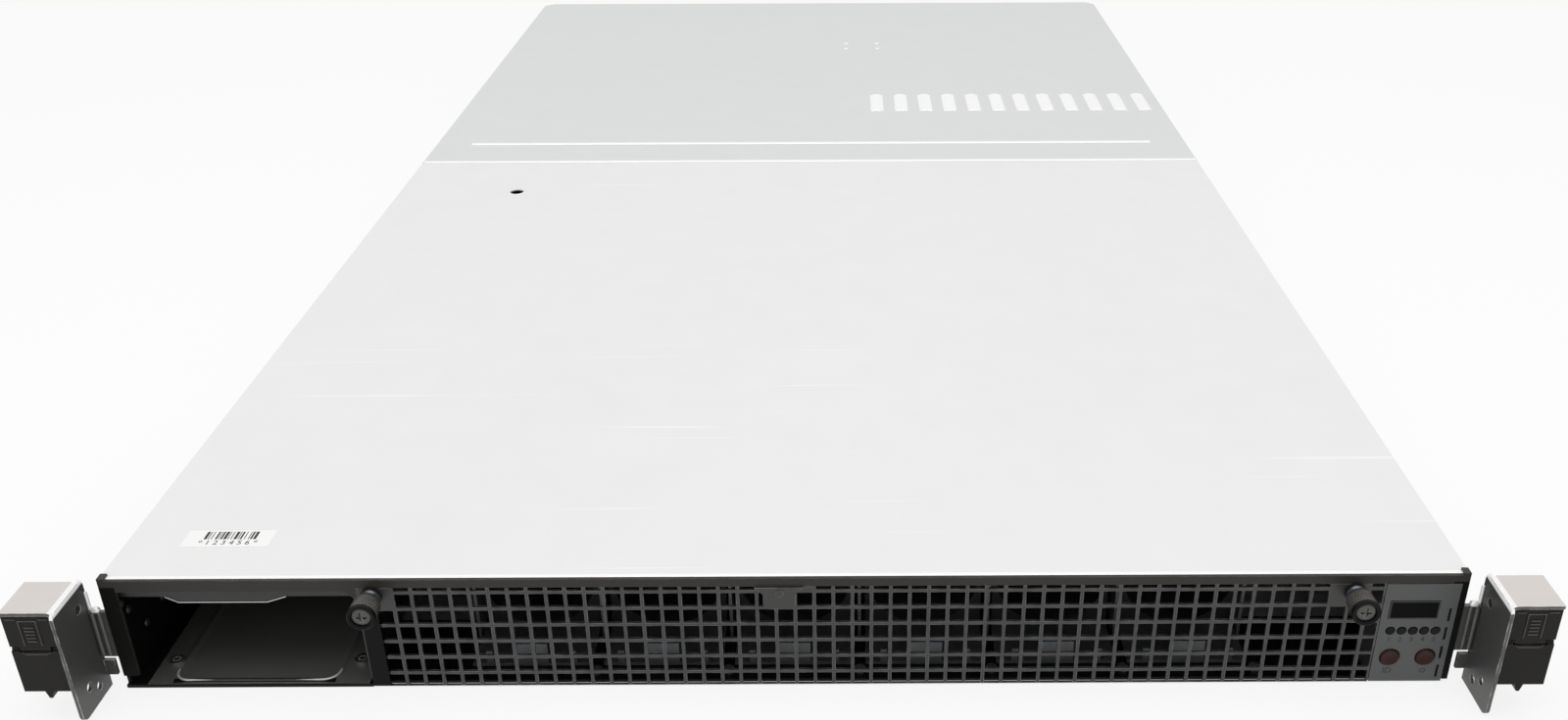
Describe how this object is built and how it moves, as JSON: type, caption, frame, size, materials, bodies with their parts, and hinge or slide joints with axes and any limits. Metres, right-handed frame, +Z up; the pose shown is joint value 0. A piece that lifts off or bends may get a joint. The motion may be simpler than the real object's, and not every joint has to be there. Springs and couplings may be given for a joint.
{
  "type": "1u rack server",
  "caption": "Low, deep rack server with mesh front, open drive bay, control panel, captive thumbscrews, latching rack ears, two-piece lid, internal fans, boards and plug-in power supplies.",
  "frame": {"origin": "under the middle of the whole object, on the plane of its flat bottom", "axes": "front faces -Y, +X to the right seen from the front, +Z up"},
  "size_m": [0.4826, 0.8094, 0.0441],
  "materials": {
    "cover_steel": "zinc plated sheet, satin, light scratches",
    "body_steel": "zinc plated sheet, satin",
    "black_paint": "satin black paint",
    "ear_metal": "metallic grey paint, bright on the top cap",
    "latch_plastic": "moulded brown black",
    "screw_knob": "black zinc knurl with bright centre",
    "bright_steel": "bright zinc",
    "panel_plastic": "dark grey moulded",
    "badge_black": "smooth black plate",
    "lamp": "unlit light pipe",
    "button_red": "dark red push cap",
    "board_green": "solder mask",
    "fan_plastic": "black glass-filled plastic",
    "socket_plastic": "moulded sockets",
    "chip_lid": "nickel plated lid",
    "fin_aluminium": "extruded fins",
    "label_paper": "white label with plain bars",
    "screw_zinc": "zinc screws",
    "ribbon_grey": "grey flat cable"
  },
  "bodies": {
    "chassis": {"chassis_tray": "body_steel", "rear_panel": "body_steel", "front_frame": "black_paint", "control_panel": "panel_plastic", "badge_plate": "badge_black", "control_board": "board_green", "status_leds": "lamp", "drive_bay": "black_paint", "bay_backplane": "board_green", "fan_frames": "fan_plastic", "fan_bracket": "body_steel", "motherboard": "board_green", "rear_ports": "bright_steel", "board_standoffs": "screw_zinc", "cpu_sockets": "socket_plastic", "processors": "chip_lid", "heatsink_1": "fin_aluminium", "heatsink_2": "fin_aluminium", "dimm_slots": "socket_plastic", "memory_modules": "board_green", "accelerator_boards": "board_green", "accelerator_shrouds": "fan_plastic", "power_backplane": "board_green", "fasteners": "screw_zinc", "ribbon_cable": "ribbon_grey", "ear_bracket_left": "ear_metal", "latch_housing_left": "latch_plastic", "latch_pin_left": "bright_steel", "latch_spring_left": "bright_steel", "ear_bracket_right": "ear_metal", "latch_housing_right": "latch_plastic", "latch_pin_right": "bright_steel", "latch_spring_right": "bright_steel"},
    "front_cover": {"front_top_cover": "cover_steel", "barcode_label": "label_paper"},
    "rear_cover": {"rear_top_cover": "cover_steel"},
    "grille": {"front_grille": "black_paint"},
    "washer_left": {"screw_washer_left": "bright_steel"},
    "washer_right": {"screw_washer_right": "bright_steel"},
    "knob_left": {"thumbscrew_left": "screw_knob"},
    "knob_right": {"thumbscrew_right": "screw_knob"},
    "lever_left": {"latch_lever_left": "latch_plastic"},
    "lever_right": {"latch_lever_right": "latch_plastic"},
    "locator_key": {"locator_button": "button_red"},
    "power_key": {"power_button": "button_red"},
    "fan_1": {"fan_rotor_1": "fan_plastic"},
    "fan_2": {"fan_rotor_2": "fan_plastic"},
    "fan_3": {"fan_rotor_3": "fan_plastic"},
    "fan_4": {"fan_rotor_4": "fan_plastic"},
    "fan_5": {"fan_rotor_5": "fan_plastic"},
    "fan_6": {"fan_rotor_6": "fan_plastic"},
    "psu_1": {"psu_1_case": "body_steel", "psu_1_core": "socket_plastic"},
    "psu_1_fan": {"psu_1_rotor": "fan_plastic"},
    "psu_1_release": {"psu_1_latch": "latch_plastic"},
    "psu_2": {"psu_2_case": "body_steel", "psu_2_core": "socket_plastic"},
    "psu_2_fan": {"psu_2_rotor": "fan_plastic"},
    "psu_2_release": {"psu_2_latch": "latch_plastic"}
  },
  "joints": [
    {"name": "front_cover_lift", "type": "slide", "parent": "chassis", "child": "front_cover", "axis": [0, 0, 1], "range_m": [0, 0.06]},
    {"name": "rear_cover_slide", "type": "slide", "parent": "chassis", "child": "rear_cover", "axis": [0, 1, 0], "range_m": [0, 0.012]},
    {"name": "grille_removal", "type": "slide", "parent": "chassis", "child": "grille", "axis": [0, -1, 0], "range_m": [0, 0.03]},
    {"name": "screw_left_travel", "type": "slide", "parent": "grille", "child": "washer_left", "axis": [0, -1, 0], "range_m": [0, 0.0035]},
    {"name": "screw_left_turn", "type": "hinge", "parent": "washer_left", "child": "knob_left", "pos_m": [-0.1322, -0.3933, 0.0368], "axis": [0, -1, 0], "range_deg": [0, 1801]},
    {"name": "screw_right_travel", "type": "slide", "parent": "grille", "child": "washer_right", "axis": [0, -1, 0], "range_m": [0, 0.0035]},
    {"name": "screw_right_turn", "type": "hinge", "parent": "washer_right", "child": "knob_right", "pos_m": [0.1824, -0.3933, 0.0368], "axis": [0, -1, 0], "range_deg": [0, 1801]},
    {"name": "latch_left_pull", "type": "hinge", "parent": "chassis", "child": "lever_left", "pos_m": [-0.2332, -0.4015, 0.0282], "axis": [-1, 0, 0], "range_deg": [0, 12], "stiffness_Nm_per_rad": 0.02, "springref_deg": -17.19},
    {"name": "latch_right_pull", "type": "hinge", "parent": "chassis", "child": "lever_right", "pos_m": [0.2332, -0.4015, 0.0282], "axis": [-1, 0, 0], "range_deg": [0, 12], "stiffness_Nm_per_rad": 0.02, "springref_deg": -17.19},
    {"name": "locator_press", "type": "slide", "parent": "chassis", "child": "locator_key", "axis": [0, 1, 0], "range_m": [0, 0.0008], "stiffness_N_per_m": 600, "springref_m": -0.0005},
    {"name": "power_press", "type": "slide", "parent": "chassis", "child": "power_key", "axis": [0, 1, 0], "range_m": [0, 0.0008], "stiffness_N_per_m": 600, "springref_m": -0.0005},
    {"name": "fan_1_spin", "type": "hinge", "parent": "chassis", "child": "fan_1", "pos_m": [-0.086, -0.3173, 0.0212], "axis": [0, 1, 0], "continuous": true},
    {"name": "fan_2_spin", "type": "hinge", "parent": "chassis", "child": "fan_2", "pos_m": [-0.042, -0.3173, 0.0212], "axis": [0, 1, 0], "continuous": true},
    {"name": "fan_3_spin", "type": "hinge", "parent": "chassis", "child": "fan_3", "pos_m": [0.002, -0.3173, 0.0212], "axis": [0, 1, 0], "continuous": true},
    {"name": "fan_4_spin", "type": "hinge", "parent": "chassis", "child": "fan_4", "pos_m": [0.046, -0.3173, 0.0212], "axis": [0, 1, 0], "continuous": true},
    {"name": "fan_5_spin", "type": "hinge", "parent": "chassis", "child": "fan_5", "pos_m": [0.09, -0.3173, 0.0212], "axis": [0, 1, 0], "continuous": true},
    {"name": "fan_6_spin", "type": "hinge", "parent": "chassis", "child": "fan_6", "pos_m": [0.134, -0.3173, 0.0212], "axis": [0, 1, 0], "continuous": true},
    {"name": "psu_1_slide", "type": "slide", "parent": "chassis", "child": "psu_1", "axis": [0, 1, 0], "range_m": [0, 0.3]},
    {"name": "psu_1_fan_spin", "type": "hinge", "parent": "psu_1", "child": "psu_1_fan", "pos_m": [-0.1819, 0.3777, 0.0214], "axis": [0, 1, 0], "continuous": true},
    {"name": "psu_1_release_squeeze", "type": "hinge", "parent": "psu_1", "child": "psu_1_release", "pos_m": [-0.1684, 0.3905, 0.0075], "axis": [0, 0, 1], "range_deg": [0, 8], "stiffness_Nm_per_rad": 0.01, "springref_deg": -11.46},
    {"name": "psu_2_slide", "type": "slide", "parent": "chassis", "child": "psu_2", "axis": [0, 1, 0], "range_m": [0, 0.3]},
    {"name": "psu_2_fan_spin", "type": "hinge", "parent": "psu_2", "child": "psu_2_fan", "pos_m": [-0.1264, 0.3777, 0.0214], "axis": [0, 1, 0], "continuous": true},
    {"name": "psu_2_release_squeeze", "type": "hinge", "parent": "psu_2", "child": "psu_2_release", "pos_m": [-0.1129, 0.3905, 0.0075], "axis": [0, 0, 1], "range_deg": [0, 8], "stiffness_Nm_per_rad": 0.01, "springref_deg": -11.46}
  ],
  "couplings": [
    {"joint": "screw_left_turn", "follows": "screw_left_travel", "rad_per_m": 8976},
    {"joint": "screw_right_turn", "follows": "screw_right_travel", "rad_per_m": 8976}
  ]
}
